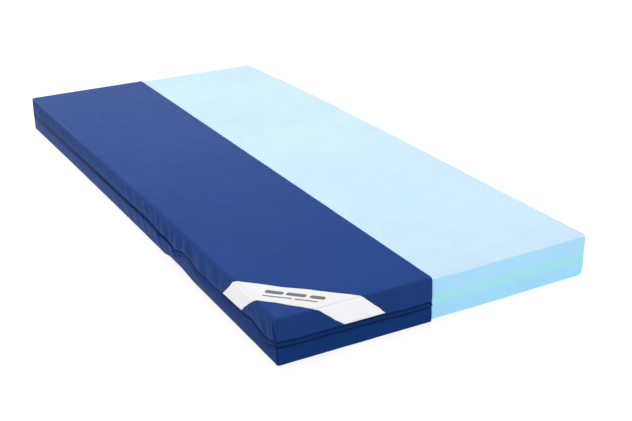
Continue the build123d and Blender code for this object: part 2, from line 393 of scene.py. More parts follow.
def pulled_up(p):
    """The zip pulls the left wall's bottom edge up from the floor at one place."""
    x, y, z = p.T
    along = ramp(y, -0.52, -0.40) * (1 - ramp(y, -0.34, -0.29))
    return PULL * along * ramp(-(x - LEFT) / MM, -90, -12) * ramp(-z / MM, -40, -12)


# ---- Materials ----


class Look:
    """A node material: noise and waves build up its colour and its bumps."""

    def __init__(self, name, colour, roughness, gloss):
        self.material = bpy.data.materials.new(name)
        self.material.use_nodes = True
        tree = self.material.node_tree
        self.make, self.join = tree.nodes.new, tree.links.new
        self.shader = tree.nodes["Principled BSDF"]
        for socket, value in (("Base Color", (*colour, 1)), ("Roughness", roughness),
                              ("Specular IOR Level", gloss)):
            self.shader.inputs[socket].default_value = value
        self.place = self.make("ShaderNodeTexCoord").outputs["Object"]
        self.colour = self.normal = None

    def node(self, kind, inputs=None, **settings):
        """Make a node, and return its outputs."""
        node = self.make(kind)
        for key, value in settings.items():
            setattr(node, key, value)
        for key, value in (inputs or {}).items():
            if isinstance(value, bpy.types.NodeSocket):
                self.join(value, node.inputs[key])
            else:
                node.inputs[key].default_value = value
        return node.outputs

    def parts(self, vector):
        return self.node("ShaderNodeSeparateXYZ", {"Vector": vector})

    def facing(self):
        """How far the surface faces along X, Y and Z."""
        return self.parts(self.node("ShaderNodeNewGeometry")["Normal"])

    def both(self, a, b):
        return self.math("MULTIPLY", a, b)

    def stretched(self, scale, turn=(0, 0, 0)):
        inputs = {"Vector": self.place, "Scale": scale, "Rotation": turn}
        return self.node("ShaderNodeMapping", inputs)["Vector"]

    def noise(self, scale, detail=3.0, roughness=0.5, vector=None):
        """scale is in lumps per metre."""
        return self.node("ShaderNodeTexNoise", {"Vector": vector or self.place, "Scale": scale,
                                                "Detail": detail, "Roughness": roughness})["Fac"]

    def pores(self, scale):
        return self.node("ShaderNodeTexVoronoi", {"Vector": self.place, "Scale": scale})["Distance"]

    def wave(self, scale, direction, vector=None, distortion=0.0):
        inputs = {"Vector": vector or self.place, "Scale": scale, "Distortion": distortion}
        return self.node("ShaderNodeTexWave", inputs, bands_direction=direction)["Fac"]

    def span(self, value, low, high, to_low=0.0, to_high=1.0):
        return self.node("ShaderNodeMapRange", {"Value": value, "From Min": low, "From Max": high,
                                                "To Min": to_low, "To Max": to_high})["Result"]

    def math(self, operation, a, b):
        return self.node("ShaderNodeMath", {0: a, 1: b}, operation=operation)[0]

    def tint(self, factor, colour, blend="MIX"):
        """Mix another colour in by a factor."""
        base = self.shader.inputs["Base Color"]
        inputs = {0: factor, 6: self.colour or base.default_value, 7: (*colour, 1)}
        self.colour = self.node("ShaderNodeMix", inputs, data_type="RGBA", blend_type=blend)[2]
        self.join(self.colour, base)

    def shade(self, factor, amount, tone=(0, 0, 0)):
        """Darken the colour by a factor, up to amount; the tone is what is left of it."""
        self.tint(self.span(factor, 0.0, 1.0, 0.0, amount), tone, "MULTIPLY")

    def bump(self, height, distance, strength=1.0):
        inputs = {"Height": height, "Distance": distance, "Strength": strength}
        if self.normal is not None:
            inputs["Normal"] = self.normal
        self.normal = self.node("ShaderNodeBump", inputs)["Normal"]
        self.join(self.normal, self.shader.inputs["Normal"])

    def rough(self, value):
        self.join(value, self.shader.inputs["Roughness"])


def coated_fabric(name, colour, painted_far_wall=None, painted_wall_span=(0.0, 0.8)):
    """Soft knit with a thin polyurethane face: a fine grain, faint scuffs, a low sheen and painted
    shade along the bottom edge. The long wall has painted shade by the zip and a painted highlight
    along its top edge, and the last two arguments give its colour past a span along it, painted light
    and shade."""
    look = Look(name, colour, 0.40, 0.010)
    cloudy = look.span(look.noise(5.0, 4.0, 0.55), 0.35, 0.7)
    look.tint(look.both(cloudy, 0.30), [c * 1.25 for c in colour])
    scuffed = look.span(look.noise(26.0, 6.0, 0.7), 0.58, 0.78)
    look.tint(look.both(scuffed, 0.16), [c * 1.4 for c in colour])
    place, facing = look.parts(look.place), look.facing()
    # Painted shade along the bottom edge, where the cover meets the floor.
    look.shade(look.span(place["Z"], 6 * MM, 1 * MM), 0.55, (0.15, 0.35, 0.5))
    long_wall = look.span(facing["X"], -0.4, -0.8)
    # Painted light and shade: the long wall's colour changes along its length as the light falls on it.
    if painted_far_wall:
        look.tint(look.both(long_wall, look.span(place["Y"], *painted_wall_span)), painted_far_wall)
    # Painted shade in the valley by the zip on the long wall.
    from_zip = look.math("ABSOLUTE", look.math("SUBTRACT", place["Z"], flap_high.z), 0.0)
    painted_zip_shade = look.both(look.span(from_zip, 16 * MM, 3 * MM), look.span(place["Y"], -0.4, 0.3))
    look.shade(look.both(painted_zip_shade, long_wall), 0.60, (0.35, 0.45, 0.60))
    # Painted highlight along the long wall's rounded top edge.
    edge = look.both(look.span(facing["Z"], 0.15, 0.5), look.span(facing["X"], -0.2, -0.5))
    painted_rim_highlight = look.both(edge, look.span(place["Y"], -0.2, 0.7, 0.0, 0.85))
    look.tint(look.both(painted_rim_highlight, look.span(look.noise(11.0, 3.0), 0.2, 0.6, 0.6, 1.0)),
              [c * 1.15 + 0.036 for c in colour])
    grain = look.noise(900.0, 2.0, 0.6)
    knit_a = look.wave(280.0, "DIAGONAL", look.stretched((1, 1, 1), (0, 0, math.radians(45))), 0.6)
    look.bump(look.noise(38.0, 4.0, 0.55), 0.9 * MM, 0.35)
    look.bump(knit_a, 0.05 * MM, 0.30)
    look.bump(grain, 0.10 * MM, 0.35)
    look.rough(look.span(look.noise(60.0, 5.0, 0.6), 0.3, 0.75, 0.34, 0.48))
    return look.material


EDGE_HIGHLIGHT_FOAM = (0.54, 0.77, 0.905)    # painted highlight along the core's rounded top edge, paler than its sides
JOINT_FOAM = (0.365, 0.728, 0.880)  # where the glue has tinted two sheets alike


def foam(name, colour, top_sheen_colour, pore_scale=420.0):
    """Open-cell foam: pores of two sizes, slight cloudiness and faint cutting marks along it."""
    look = Look(name, colour, 0.92, 0.12)
    up = look.facing()["Z"]
    # Painted sheen: the top faces take a greyer colour.
    look.tint(look.span(up, 0.1, 0.6), top_sheen_colour)
    # Painted highlight along the rounded top edge.
    edge = look.both(look.span(up, 0.1, 0.3), look.span(up, 0.97, 0.80))
    look.tint(look.both(edge, look.span(look.noise(9.0), 0.2, 0.7, 0.75, 1.0)), EDGE_HIGHLIGHT_FOAM)
    height = look.parts(look.place)["Z"]
    for joint in (middle_low.z, middle_high.z):
        away = look.math("ABSOLUTE", look.math("SUBTRACT", height, joint), 0.0)
        look.tint(look.span(away, 5 * MM, 0.5 * MM, 0.0, 0.9), JOINT_FOAM)
    look.shade(look.span(look.noise(2.6, 3.0, 0.5), 0.35, 0.7), 0.035)
    look.shade(look.span(look.noise(14.0, 3.0, 0.5, look.stretched((1, 1, 7))), 0.4, 0.75), 0.04)
    cells = look.span(look.pores(pore_scale), 0.10, 0.45)
    look.shade(look.math("SUBTRACT", 1.0, cells), 0.16, (0.30, 0.45, 0.55))
    look.bump(look.noise(30.0, 3.0, 0.5), 0.8 * MM, 0.25)
    look.bump(cells, 0.35 * MM, 0.35)
    look.bump(look.pores(pore_scale * 2.3), 0.15 * MM, 0.30)
    return look.material


def ribbon():
    """White woven satin: fine ribs across, a soft gloss and slight greying in soft patches. Its near
    faces
    are paler and its top greyer: painted light and painted shade.
    """
    look = Look("woven_ribbon", (0.775, 0.777, 0.792), 0.45, 0.3)
    facing = look.facing()
    # Painted light on the faces towards the near side, and painted shade on the top.
    look.tint(look.span(facing["Y"], -0.3, -0.8), (0.87, 0.87, 0.88))
    look.tint(look.span(facing["Z"], 0.5, 0.9), (0.600, 0.602, 0.612))
    look.shade(look.span(look.noise(22.0, 4.0, 0.5), 0.4, 0.75), 0.35, (0.92, 0.92, 0.95))
    along = look.stretched((1, 1, 1), (0, 0, math.radians(45)))
    look.bump(look.wave(330.0, "X", along, 0.3), 0.06 * MM, 0.30)
    look.bump(look.wave(150.0, "Y", along, 0.3), 0.05 * MM, 0.20)
    look.bump(look.noise(45.0, 3.0, 0.5), 0.5 * MM, 0.25)
    return look.material


def fine(name, colour, second, share, roughness, gloss, scale, detail=3.0):
    """A small part's material, with soft patches of a second colour."""
    look = Look(name, colour, roughness, gloss)
    look.tint(look.both(look.noise(scale, detail), share), second)
    return look


def tape_weave():
    """Zip tape: a tight herringbone."""
    look = fine("zip_tape_weave", (0.0035, 0.0160, 0.070), (0.0055, 0.0220, 0.092),
                0.5, 0.85, 0.02, 120.0)
    look.bump(look.wave(420.0, "DIAGONAL"), 0.08 * MM, 0.5)
    look.bump(look.wave(420.0, "Z"), 0.05 * MM, 0.4)
    return look.material


def filament():
    """Nylon filament of the zip's coils."""
    look = fine("coil_filament", (0.0040, 0.0150, 0.062), (0.0060, 0.0220, 0.085),
                0.5, 0.42, 0.06, 300.0)
    look.bump(look.noise(1500.0, 2.0), 0.02 * MM, 0.4)
    return look.material


def thread(name, colour):
    """Twisted sewing thread."""
    look = fine(name, colour, [c * 0.6 for c in colour], 0.6, 0.62, 0.05, 400.0)
    look.bump(look.wave(1200.0, "DIAGONAL"), 0.05 * MM, 0.6)
    return look.material


def ink():
    """Grey print on the ribbon."""
    look = fine("ribbon_print", (0.085, 0.087, 0.095), (0.16, 0.16, 0.17), 0.6, 0.6, 0.3, 240.0, 4.0)
    look.bump(look.noise(800.0, 2.0), 0.03 * MM, 0.3)
    return look.material


def enamel():
    """Dark satin enamel on cast metal, worn brighter in places."""
    look = Look("slider_enamel", (0.011, 0.014, 0.026), 0.34, 0.5)
    look.tint(look.span(look.noise(520.0, 5.0, 0.65), 0.60, 0.72), (0.16, 0.16, 0.17))
    look.bump(look.noise(900.0), 0.03 * MM, 0.4)
    look.rough(look.span(look.noise(300.0, 4.0), 0.3, 0.7, 0.28, 0.46))
    return look.material


# Past the span along the long wall the blue turns darker on the top half and paler on the bottom half:
# painted shade and painted light.
BLUE = coated_fabric("coated_fabric", (0.0122, 0.0418, 0.170), (0.0095, 0.0340, 0.146))
# The bottom half's darker blue is painted shade on the lower walls.
BASE_BLUE = coated_fabric("coated_fabric_base", (0.0060, 0.0320, 0.141), (0.0205, 0.0500, 0.182),
                          (-0.95, -0.45))
# The flap's darker blue is painted shade of the zip's recess.
SHADED_FLAP_BLUE = coated_fabric("coated_fabric_flap", (0.0058, 0.0275, 0.118))
INSIDE_BLUE = coated_fabric("coated_fabric_fold", (0.008, 0.033, 0.137))
# Each foam's second colour is painted sheen for its top faces.
UPPER_FOAM = foam("blue_foam", (0.385, 0.71, 0.94), (0.441, 0.584, 0.700))
MIDDLE_FOAM = foam("aqua_foam", (0.345, 0.755, 0.810), (0.36, 0.62, 0.68), 380.0)
LOWER_FOAM = foam("base_foam", (0.355, 0.70, 0.94), (0.42, 0.58, 0.70), 360.0)
RIBBON = ribbon()
TAPE_WEAVE = tape_weave()
FILAMENT = filament()
BLUE_THREAD = thread("blue_thread", (0.0060, 0.0270, 0.115))
# The seam line's near-black thread is painted shade of the corner's groove.
SEAM_SHADE_THREAD = thread("seam_shade_thread", (0.0025, 0.0105, 0.046))
WHITE_THREAD = thread("white_thread", (0.70, 0.70, 0.74))
ENAMEL = enamel()
INK = ink()

# ---- Foam core ----

FOAM_STEP = 14 * MM
BARE_ROUND = 8 * MM
LOW_BARE_ROUND = 15 * MM
COVERED_ROUND = 12 * MM
WAVE = 1.1 * MM           # how far the glued faces rise and fall along the core
CORNER_LIFT = 4 * MM      # the bare near corner stands up a little


def foam_layer(node, low_z, high_z, material):
    """One sheet of the core, closed, with the core's round edges where it has them."""
    ends_x, ends_y = (core_low.x, core_high.x), (core_low.y, core_high.y)
    xs = spaced(*ends_x, FOAM_STEP, ends_x)
    ys = spaced(*ends_y, FOAM_STEP, ends_y)
    zs = spaced(low_z, high_z, 5 * MM, (low_z, high_z))
    points, faces = [], []
    for z in (low_z, high_z):
        add_grid(points, faces, xs, ys, lambda x, y: (x, y, z))
    for x in ends_x:
        add_grid(points, faces, ys, zs, lambda y, z: (x, y, z))
    for y in ends_y:
        add_grid(points, faces, xs, zs, lambda x, z: (x, y, z))
    piece = closed_piece(node + "_sheet", points, faces, material)
    co = points_of(piece)
    x, y, z = co.T  # views, which follow every change to co
    covered = ramp(-x, 0.0, 0.06)
    low_edge = (LOW_BARE_ROUND - BARE_ROUND) * (1 - ramp(z, 0, 0.06))
    r = BARE_ROUND + low_edge * (1 - covered) + (COVERED_ROUND - BARE_ROUND) * covered
    inner = np.clip(co, np.array(core_low) + r[:, None], np.array(core_high) - r[:, None])
    d = co - inner
    outside = np.linalg.norm(d, axis=1) > r
    side = unit(d)
    co[outside] = (inner + side * r[:, None])[outside]
    wave = WAVE * (np.sin(x * 9 + 0.6) + 0.5 * np.sin(x * 21 + y * 3))
    if low_z > core_low.z + MM:
        z += wave * (1 - ramp(z, low_z, low_z + 8 * MM))
    if high_z < core_high.z - MM:
        z += wave * ramp(z, high_z - 8 * MM, high_z)
    side[:, 2] = 0
    sagged = 0.8 * MM * soft_noise(co, 0.16, 5.0)
    sagged -= 0.6 * MM * np.exp(-(((z - 60 * MM) / (20 * MM)) ** 2))
    bare = ramp(x, cut_x(0) + 0.01, cut_x(0) + 0.05)
    co += side * (sagged * bare - 0.4 * MM)[:, None]
    top = ramp(z, core_high.z - 2 * MM, core_high.z)
    z += top * (0.9 * MM * soft_noise(co * [1, 1, 0], 0.22, 1.0) - 0.7 * MM) * (0.3 + 0.7 * bare)
    z += 1.4 * MM * (1 - ramp(z, 0, 3 * MM)) * ramp(cut_x(y) - x, -1 * MM, 0)
    x += bowed(co, (x - core_low.x) / (core_high.x - core_low.x))
    z += pulled_up(co) + CORNER_LIFT * ramp(x, 0.1, 0.45) * ramp(-y, 0.6, 1.0)
    set_points(piece, co)
    piece.data.set_sharp_from_angle(angle=math.radians(50))
    take_place(piece, node, "core")


foam_layer("foam_bottom_layer", core_low.z, middle_low.z, LOWER_FOAM)
foam_layer("foam_middle_layer", middle_low.z, middle_high.z, MIDDLE_FOAM)
foam_layer("foam_top_layer", middle_high.z, core_high.z, UPPER_FOAM)

# ---- Cover ----

COVER_STEP = 7 * MM
SIM_STEP = 11 * MM
SEAM_WIDTH = 1.4 * MM
SEAM_DEPTH = 4.2 * MM
SEAM_LEAN = 14 * MM       # how far the seam's top lies from the corner, along the long wall
SEAM_LEAN_FROM = 30 * MM


def cover_half(name, wall_places, flat_z, low_round, material, step=COVER_STEP, grade=SEAM_GRADE):
    """One half of the cover: a flat panel and the walls on three sides, draped on the core."""
    shares = spaced(LEFT, 0, step, (LEFT,), grade) / LEFT
    ys = spaced(NEAR, FAR, step, (NEAR, FAR), grade)
    points, faces = [], []

    def x_at(share, y):
        return cut_x(y) + (LEFT - cut_x(y)) * share

    add_grid(points, faces, shares, ys, lambda share, y: (x_at(share, y), y, flat_z))
    add_grid(points, faces, ys, wall_places, lambda y, z: (LEFT, y, z))
    for y in (NEAR, FAR):
        add_grid(points, faces, shares, wall_places, lambda share, z: (x_at(share, y), y, z))
    piece = closed_piece(name, points, faces, material)
    placed, normal = round_off(points_of(piece), low_round)
    x, y, z = placed.T
    lean = SEAM_LEAN * ramp(z, SEAM_LEAN_FROM, TOP)
    beside = x - LEFT - np.minimum(y - NEAR, FAR - y) + lean
    corner = x < LEFT + CORNER
    at_seam = corner * (np.exp(-((beside / SEAM_WIDTH) ** 2))
                        - 0.5 * np.exp(-(((beside + 4 * SEAM_WIDTH) / (2 * SEAM_WIDTH)) ** 2)))
    up_to = (1 - ramp(z, TOP - 16 * MM, TOP - 9 * MM)) * (0.45 if low_round else 1)
    draped = drape(placed, normal)
    draped -= normal * [1, 1, 0] * (SEAM_DEPTH * at_seam * up_to)[:, None]
    draped += normal * (0.35 * MM * soft_noise(placed, 0.05, 3.0))[:, None]
    set_points(piece, draped)
    return piece


def outward(piece):
    """Make the normals of an open shell point away from the middle of the mattress."""
    middle = Vector((LEFT / 2, 0, 60 * MM))

    def work(mesh):
        bmesh.ops.recalc_face_normals(mesh, faces=mesh.faces)
        votes = sum((f.calc_center_median() - middle).dot(f.normal) * f.calc_area() for f in mesh.faces)
        if votes < 0:
            bmesh.ops.reverse_faces(mesh, faces=mesh.faces)

    edit(piece, work)


def core_block():
    """A plain round-edged block in the core's place, for the cloth to lie against."""
    corners = [(x, y, z) for x in (core_low.x, core_high.x) for y in (core_low.y, core_high.y)
               for z in (core_low.z, core_high.z)]
    sides = [(0, 1, 3, 2), (4, 6, 7, 5), (0, 4, 5, 1), (2, 3, 7, 6), (0, 2, 6, 4), (1, 5, 7, 3)]
    block = new_piece("core_block", corners, sides, BLUE)
    bevel = block.modifiers.new("edges", "BEVEL")
    bevel.width = COVERED_ROUND
    bevel.segments = 4
    apply_modifiers(block)
    face_outwards(block)
    block.modifiers.new("collision", "COLLISION")
    block.collision.thickness_outer = 0.6 * MM
    block.collision.cloth_friction = 8
    return block


CLOTH = {"quality": 8, "mass": 0.25, "vertex_group_mass": "held", "pin_stiffness": 4,
         "tension_stiffness": 25, "compression_stiffness": 25, "shear_stiffness": 10,
         "bending_stiffness": 0.3, "tension_damping": 12, "compression_damping": 12,
         "bending_damping": 1.5, "air_damping": 4,
         "shrink_min": -0.012}  # the fabric is that much longer than its place


def settled(piece, held, frames, cap):
    """How far the fabric's points move when a cloth simulation finds its creases. held(co) gives how
    firmly each point is kept, from 0 to 1, and no point moves further than cap."""
    before = points_of(piece)
    group = piece.vertex_groups.new(name="held")
    for i, weight in enumerate(held(before)):
        if weight > 0:
            group.add([i], float(weight), "REPLACE")
    cloth = piece.modifiers.new("cloth", "CLOTH")
    for setting, value in CLOTH.items():
        setattr(cloth.settings, setting, value)
    cloth.settings.effector_weights.gravity = 0.4
    cloth.collision_settings.distance_min = 0.6 * MM
    cloth.collision_settings.use_self_collision = False
    cloth.point_cache.frame_end = frames
    scene = bpy.context.scene
    for number in range(frames):
        scene.frame_set(number + 1)
    apply_modifiers(piece)
    scene.frame_set(1)
    step = points_of(piece) - before
    far = np.linalg.norm(step, axis=1, keepdims=True)
    return before, unit(step) * np.minimum(far, cap) * (far < 6 * cap)


def spread(before, step, to, reach):
    """The moves of some points, carried over smoothly to others near them."""
    tree = KDTree(len(before))
    for i, p in enumerate(before):
        tree.insert(Vector(p), i)
    tree.balance()
    moved = np.zeros_like(to)
    for i, p in enumerate(to):
        near = tree.find_range(Vector(p), reach)
        if near:
            weights = np.exp(-((np.array([n[2] for n in near]) / (0.45 * reach)) ** 2))
            moved[i] = weights @ step[[n[1] for n in near]] / weights.sum()
    return moved


def top_held(co):
    """The cover's top half is sewn along its lower edge, and lies still at the cut."""
    at_seam = co[:, 2] < flap_high.z + line_shift(co) + 1 * MM
    at_cut = co[:, 0] > cut_x(co[:, 1]) - 6 * MM
    return np.where(at_seam | at_cut, 1.0, 0.0)


wall_up = spaced(top_edge_z, TOP, 4.5 * MM, (TOP, top_edge_z))
cover_top = cover_half("cover_top_fabric", wall_up, TOP, None, BLUE)
outward(cover_top)
block = core_block()
loose = cover_half("loose_cover", spaced(top_edge_z, TOP, SIM_STEP), TOP, None, BLUE, SIM_STEP, [0])
before, step = settled(loose, top_held, frames=22, cap=5 * MM)
slack_near = 0.10 + 0.30 * np.exp(-(((before[:, 1] + 0.45) / 0.3) ** 2))
on_wall = 1 - 0.8 * ramp(before[:, 2], TOP - 8 * MM, TOP - 1 * MM)
step *= (slack_near * on_wall * off_band(before))[:, None]
still = points_of(cover_top)
set_points(cover_top, still + spread(before, step, still, 2 * SIM_STEP))
for made in (block, loose):
    bpy.data.objects.remove(made)
cover_skin = skin_of(cover_top)
thicken(cover_top, FABRIC)
take_place(cover_top, "cover_top")

wall_low = spaced(cover_low.z, bottom_edge_z, 4 * MM, (cover_low.z,))
cover_bottom = cover_half("cover_bottom_fabric", wall_low, cover_low.z, BOTTOM_ROUND, BASE_BLUE)
outward(cover_bottom)
lower_skin = skin_of(cover_bottom)
thicken(cover_bottom, FABRIC)
take_place(cover_bottom, "cover_bottom")


def laid_on(skin, points, rise):
    """Points moved on to a skin, that far above it, with the skin's outward directions."""
    found = [skin.find_nearest(Vector(p))[:2] for p in points]
    return np.array([spot + normal * rise for spot, normal in found]), np.array([n for _, n in found])


DROP = 40 * MM


def dropped_on(skin, points, directions, rise):
    """Points dropped on to a skin, each from above it against its own direction, and lifted by rise."""
    placed = []
    for p, away in zip(points, directions):
        away = Vector(away)
        spot = skin.ray_cast(Vector(p) + away * DROP, -away)[0] or skin.find_nearest(Vector(p))[0]
        placed.append(spot + away * rise)
    return np.array(placed)


# ---- Strips round the cover ----


def round_path(step, start=0.0):
    """Places along the cover's wall, from the near cut round both corners to the far cut, each as x, y
    and its outward direction. start is a share of the whole way."""
    near_run, far_run = cut_x(NEAR) - LEFT - CORNER, cut_x(FAR) - LEFT - CORNER
    arc, long_run = CORNER * math.pi / 2, FAR - NEAR - 2 * CORNER
    far_arc = near_run + arc + long_run
    total = far_arc + arc + far_run
    s = np.linspace(total * start, total, round(total * (1 - start) / step) + 1)
    turn = (np.clip(s - near_run, 0, arc) + np.clip(s - far_arc, 0, arc)) / CORNER
    out_x, out_y = -np.sin(turn), -np.cos(turn)
    x = LEFT + CORNER * (1 + out_x) + np.maximum(near_run - s, 0) + np.maximum(s - far_arc - arc, 0)
    y = NEAR + CORNER * (1 + out_y) + np.clip(s - near_run - arc, 0, long_run)
    return np.stack([x, y, out_x, out_y], axis=1), total


def level_out(path):
    """The path's outward directions in 3-D."""
    return np.c_[path[:, 2:4], np.zeros(len(path))]


def strip(name, profile, path, material, vary=lambda stop, out, z: (out, z)):
    """A band with a closed profile of (out, z) points, counted from the wall, carried along a path.
    vary(stop, out, z) may change a profile point at each stop. The ends are closed."""
    points = []
    for stop in path:
        for place in profile:
            out, z = vary(stop, *place)
            points.append((stop[0] + stop[2] * out, stop[1] + stop[3] * out, z))
    points = drape(np.array(points), np.repeat(level_out(path), len(profile), axis=0))
    return closed_piece(name, points, tube_faces(len(path), len(profile)), material)


PATH_STEP = 6 * MM
whole_path, path_length = round_path(PATH_STEP)
far_run_share = (cut_x(FAR) - (LEFT + CORNER)) / path_length
# The far stretch of the flap lifts for the slider; the fabric turns between these places.
LIFT_START = LEFT + CORNER + 2 * MM
LIFT_END = LIFT_START + 35 * MM
FLAP_POINTS = 7


def flap_profile(out, high, low):
    """The flap's section: sewn to the wall at the top, curving out and hanging down."""
    outer, inner = [[((out - inwards) * math.sin(turn),
                      low + (high - inwards - low) * (0.45 + 0.55 * math.cos(turn)))
                     for turn in np.linspace(0, math.pi / 2, FLAP_POINTS)] + [(out - inwards, low)]
                    for inwards in (0, FABRIC)]
    return outer + inner[::-1]


flap_out = LEFT - flap_low.x
# How much shorter or longer the flap hangs in places.
NEAR_SHORTER = 1.0 * MM
LONG_SHORTER = 7.0 * MM
PULL_SHORTER = 3.0 * MM
CORNER_LONGER = 3.5 * MM
FLAP_EDGE_Z = coil_low.z + 0.5 * MM
fixed_path = whole_path[: int((1 - far_run_share) * len(whole_path))]


def flap_wander(stop, out, z):
    """The flap's free edge swings a little in and out, and rides up where the zip's line is pulled."""
    free = ramp(-z, -flap_high.z + 2 * MM, -flap_low.z)
    y = stop[1]
    if stop[2] > -0.5:
        return out, z + free * NEAR_SHORTER
    swing = 1.0 * MM * math.sin(y * 24) + 0.6 * MM * math.sin(y * 61 + 1)
    longer = CORNER_LONGER * ramp(-y, 0.42, 0.52) * ramp(y, -0.97, -0.90)
    shorter = LONG_SHORTER * ramp(y, -0.42, -0.34) * (1 - ramp(y, 0.1, 0.9))
    shorter += PULL_SHORTER * math.exp(-(((y + 0.335) / 0.045) ** 4))
    return out + free * swing, z + free * (shorter - longer)


zip_flap = strip("zip_flap_fabric", flap_profile(flap_out, flap_high.z, FLAP_EDGE_Z), fixed_path,
                 SHADED_FLAP_BLUE, flap_wander)
take_place(zip_flap, "zip_flap")

far_path, _ = round_path(PATH_STEP, start=1 - far_run_share)
far_out = far_flap_high.y - FAR


def far_grow(stop, out, z):
    """The flap lies close at the corner, and stands off further along, over the slider's way."""
    share = ramp(stop[0], LIFT_START, LIFT_END)
    close = out * (flap_out / far_out)
    return close + (out - close) * share, z


far_profile = flap_profile(far_out, far_flap_high.z, far_flap_low.z)
far_flap = strip("zip_flap_far_fabric", far_profile, far_path, SHADED_FLAP_BLUE, far_grow)
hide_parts("zip_flap_far")
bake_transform(far_flap)

# ---- Zip ----


def tape(name, node, low_z, high_z):
    """One side of the zip's tape, sewn in behind the cover's edge."""
    profile = [(tape_high_out, low_z), (tape_high_out, high_z),
               (tape_low_out, high_z), (tape_low_out, low_z)]
    piece = strip(name, profile, whole_path, TAPE_WEAVE)
    take_place(piece, node)


tape_high_out = LEFT - tape_low.x
tape_low_out = tape_high_out - 0.8 * MM
tape("zip_tape_upper_weave", "zip_tape_upper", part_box("zip_tape_upper")[0].z, tape_high.z)
tape("zip_tape_lower_weave", "zip_tape_lower", tape_low.z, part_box("zip_tape_lower")[1].z)

COIL_PITCH = 2.2 * MM
FILAMENT_RADIUS = 0.32 * MM
COIL_SIDES = 4
TURN_STEPS = 8


def coil(name, node):
    """One side of the chain: a filament wound in flattened turns along the tape's edge."""
    low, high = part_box(node)
    middle_z, half_z = (low.z + high.z) / 2, (high.z - low.z) / 2 - FILAMENT_RADIUS
    out_high = LEFT - low.x
    middle_out = (out_high + tape_high_out) / 2
    half_out = (out_high - tape_high_out) / 2 - FILAMENT_RADIUS
    path, _ = round_path(COIL_PITCH / TURN_STEPS)
    turn = np.arange(len(path)) * (2 * math.pi / TURN_STEPS)
    out = middle_out + half_out * np.cos(turn)
    line = np.c_[path[:, :2] + path[:, 2:4] * out[:, None], middle_z + half_z * np.sin(turn)]
    line = drape(line, level_out(path))
    along = unit(np.gradient(line, axis=0))
    outwards = np.c_[path[:, 2:4] * np.cos(turn)[:, None], np.sin(turn)]
    side = unit(np.cross(along, outwards))
    up = np.cross(side, along)
    points = np.stack(ring(line, side, up, FILAMENT_RADIUS, COIL_SIDES), axis=1).reshape(-1, 3)
    piece = closed_piece(name, points, tube_faces(len(line), COIL_SIDES), FILAMENT)
    take_place(piece, node)


coil("zip_coil_upper_filament", "zip_coil_upper")
coil("zip_coil_lower_filament", "zip_coil_lower")

for node in ("zip_slider", "pull_tab"):
    mesh = frame["nodes"][node].data
    mesh.materials.clear()
    mesh.materials.append(ENAMEL)

# ---- Corner band ----


def band_row(share, places):
    """The band's line at that share of its half width, on the cover's sharp box: up the left wall,
    across the top and down the near wall. places are 0 to 1 on the wall, to 2 on top, to 3 down."""
    start_y = middle_sum + share * half_band - LEFT - TOP
    to_corner = (1 - share) / 2
    end_x = start_y + LEFT - NEAR - BAND_WIDENING * to_corner
    flare = BAND_FLARE + BAND_NARROWING * to_corner
    left_drop, near_drop = TOP - LEFT_END_Z, TOP - NEAR_END_Z
    up, over, down = (np.clip(places - k, 0, 1) for k in range(3))
    return np.stack([LEFT + (end_x - LEFT) * over + (flare + near_drop) * down,
                     start_y + (NEAR - start_y) * over + (flare + left_drop) * (1 - up),
                     TOP - left_drop * (1 - up) - near_drop * down], axis=1)


def make_band():
    """The ribbon, dropped on to the cover, with its edges a little uneven. Returns its skin."""
    on_top = 1.5 - 0.5 * np.cos(np.linspace(0, math.pi, 46))  # closer together at the edges
    places = np.r_[np.linspace(0, 1, 24)[:-1], on_top[:-1], np.linspace(2, 3, 24)]
    across = np.linspace(-1, 1, 23)
    ripple = 0.9 * MM * np.sin(places * 7.3 + 1) + 0.5 * MM * np.sin(places * 17)
    rows = np.array([band_row(share, places) for share in across])
    rows[:, :, :2] += (across * np.abs(across))[:, None, None] * ripple[:, None]
    placed, normal = round_off(rows.reshape(-1, 3))
    placed[:, 0] += bowed(placed)
    placed = dropped_on(cover_skin, placed, normal, BAND_RISE)
    placed += normal * (0.4 * MM * soft_noise(placed, 0.022, 8.0))[:, None]
    piece = new_piece("corner_band_ribbon", placed, grid_faces(len(across), len(places)), RIBBON)
    outward(piece)
    skin = skin_of(piece)
    thicken(piece, BAND_THICKNESS)
    take_place(piece, "corner_band")
    return skin


band_skin = make_band()

PRINT_BARS = [
    # along the band from its middle, across it, length, height, all in millimetres
    (-46, 8, 46, 15), (8, 8, 50, 15), (60, 8, 38, 15),
    (-32, -13, 72, 5), (38, -13, 56, 5),
]


def print_bars():
    """A plain generic print on the band: rows of bars with rounded ends."""
    middle = Vector(((middle_sum - TOP + LEFT - NEAR) / 2, (middle_sum - TOP - LEFT + NEAR) / 2, TOP))
    along, across = Vector((1, -1, 0)).normalized(), Vector((1, 1, 0)).normalized()
    points, faces = [], []
    for u, v, size_u, size_v in PRINT_BARS:
        def spot(t, s):
            half = size_u / 2 - size_v / 2 * (1 - math.sqrt(1 - t * t * 0.75))
            return middle + along * ((u + s * half) * MM) + across * ((v + t * size_v / 2) * MM)

        columns = max(4, size_u // 3)
        add_grid(points, faces, np.linspace(-1, 1, 5), np.linspace(-1, 1, columns + 1), spot)
    placed, _ = laid_on(band_skin, points, 0.14 * MM)
    piece = new_piece("corner_band_print", placed, faces, INK)
    outward(piece)
    thicken(piece, 0.1 * MM)
    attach(piece, "cover")


print_bars()

# ---- Sewing ----

